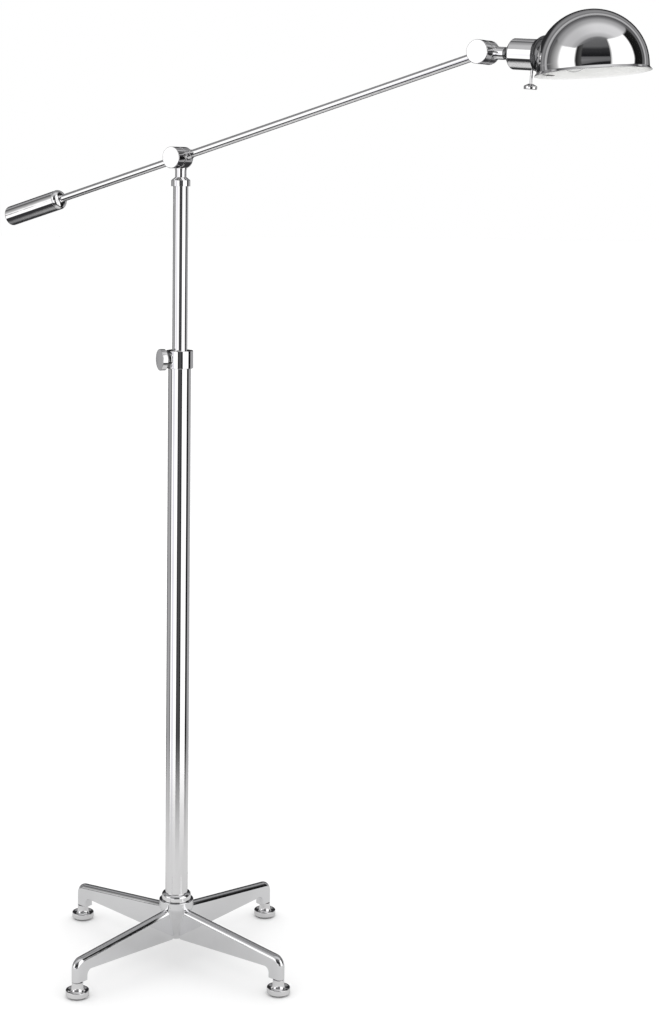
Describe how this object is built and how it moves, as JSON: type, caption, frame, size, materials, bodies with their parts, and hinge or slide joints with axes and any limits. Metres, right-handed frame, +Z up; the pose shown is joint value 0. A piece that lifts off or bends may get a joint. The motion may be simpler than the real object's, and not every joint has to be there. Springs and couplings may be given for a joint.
{
  "type": "pharmacy floor lamp",
  "caption": "Floor lamp on a cast cross base with levelling feet, telescoping pole, counterweighted tilting arm and domed metal shade on a turning head.",
  "frame": {"origin": "on the floor at the pole's axis", "axes": "+Z up along the pole, +X the way the arm and shade point at rest, -Y the side of the knobs"},
  "size_m": [1.233, 0.4962, 1.5665],
  "materials": {
    "base_chrome": "polished, slightly softer over the casting",
    "chrome": "polished nickel-chrome plate",
    "knob_chrome": "polished, face turned flat",
    "shade_chrome": "polished outside, white enamel inside",
    "steel": "zinc plated",
    "nylon": "natural nylon",
    "glide_nylon": "black nylon",
    "black_rubber": "matt",
    "lead_sheath": "PVC sheath",
    "brass": "bright",
    "cap_aluminium": "satin",
    "holder_plastic": "moulded phenolic",
    "opal_glass": "opal, satin"
  },
  "bodies": {
    "stand": {"base_casting": "base_chrome", "base_ring": "chrome", "pole_plug": "steel", "pole_stud": "steel", "pole_washer": "steel", "pole_nut": "steel", "lower_tube": "chrome", "cord_grommet": "black_rubber", "supply_lead": "lead_sheath", "clamp_collar": "chrome", "collar_bush": "nylon", "clamp_pad": "brass"},
    "clamp": {"clamp_screw": "steel", "clamp_knob": "knob_chrome"},
    "slider": {"guide_bush": "nylon"},
    "mast": {"upper_tube": "chrome", "bush_clips": "steel", "mast_cap": "chrome", "mast_lead": "lead_sheath", "pivot_fork": "chrome", "pivot_bolt": "chrome", "pivot_washer": "steel"},
    "pivot_knob": {"pivot_knob": "knob_chrome"},
    "arm": {"pivot_block": "chrome", "front_arm": "chrome", "arm_lead": "lead_sheath", "rear_arm": "chrome", "counterweight": "chrome", "weight_screw": "steel", "head_block": "chrome"},
    "head_knuckle": {"head_fork": "chrome", "head_bolt": "chrome", "head_washer": "steel", "swivel_ring": "steel", "swivel_nut": "steel"},
    "head_knob": {"head_knob": "knob_chrome"},
    "head": {"socket_cup": "chrome", "lamp_holder": "holder_plastic", "screw_shell": "brass", "bulb_cap": "cap_aluminium", "bulb_glass": "opal_glass", "shade_ring": "chrome", "shade_clamp_ring": "cap_aluminium", "shade": "shade_chrome", "switch_body": "holder_plastic"},
    "switch": {"switch_stem": "chrome", "switch_knob": "chrome"},
    "foot_1": {"foot_1": "chrome", "glide_1": "glide_nylon"},
    "foot_2": {"foot_2": "chrome", "glide_2": "glide_nylon"},
    "foot_3": {"foot_3": "chrome", "glide_3": "glide_nylon"},
    "foot_4": {"foot_4": "chrome", "glide_4": "glide_nylon"}
  },
  "joints": [
    {"name": "mast_slide", "type": "slide", "parent": "stand", "child": "slider", "axis": [0, 0, 1], "range_m": [-0.27, 0.15]},
    {"name": "mast_swivel", "type": "hinge", "parent": "slider", "child": "mast", "pos_m": [0, 0, 1.016], "axis": [0, 0, 1], "range_deg": [-170, 170]},
    {"name": "arm_tilt", "type": "hinge", "parent": "mast", "child": "arm", "pos_m": [0, 0, 1.355], "axis": [0, -1, 0], "range_deg": [-51, 21]},
    {"name": "pivot_knob_turn", "type": "hinge", "parent": "mast", "child": "pivot_knob", "pos_m": [0, 0, 1.355], "axis": [0, -1, 0], "range_deg": [0, 360]},
    {"name": "head_tilt", "type": "hinge", "parent": "arm", "child": "head_knuckle", "pos_m": [0.57956, 0, 1.51029], "axis": [0, -1, 0], "range_deg": [-90, 90]},
    {"name": "head_knob_turn", "type": "hinge", "parent": "head_knuckle", "child": "head_knob", "pos_m": [0.57956, 0, 1.51029], "axis": [0, -1, 0], "range_deg": [0, 360]},
    {"name": "head_swivel", "type": "hinge", "parent": "head_knuckle", "child": "head", "pos_m": [0.57956, 0, 1.51029], "axis": [0.9969, 0, -0.0785], "range_deg": [-90, 90]},
    {"name": "switch_turn", "type": "hinge", "parent": "head", "child": "switch", "pos_m": [0.65831, 0, 1.50409], "axis": [-0.0785, 0, -0.9969], "continuous": true},
    {"name": "clamp_turn", "type": "hinge", "parent": "stand", "child": "clamp", "pos_m": [0, 0, 1.016], "axis": [-0.5, -0.866, 0], "range_deg": [0, 360]},
    {"name": "foot_1_turn", "type": "hinge", "parent": "stand", "child": "foot_1", "pos_m": [0.22912, -0.02005, 0], "axis": [0, 0, 1], "range_deg": [-360, 360]},
    {"name": "foot_2_turn", "type": "hinge", "parent": "stand", "child": "foot_2", "pos_m": [0.02005, 0.22912, 0], "axis": [0, 0, 1], "range_deg": [-360, 360]},
    {"name": "foot_3_turn", "type": "hinge", "parent": "stand", "child": "foot_3", "pos_m": [-0.22912, 0.02005, 0], "axis": [0, 0, 1], "range_deg": [-360, 360]},
    {"name": "foot_4_turn", "type": "hinge", "parent": "stand", "child": "foot_4", "pos_m": [-0.02005, -0.22912, 0], "axis": [0, 0, 1], "range_deg": [-360, 360]}
  ]
}
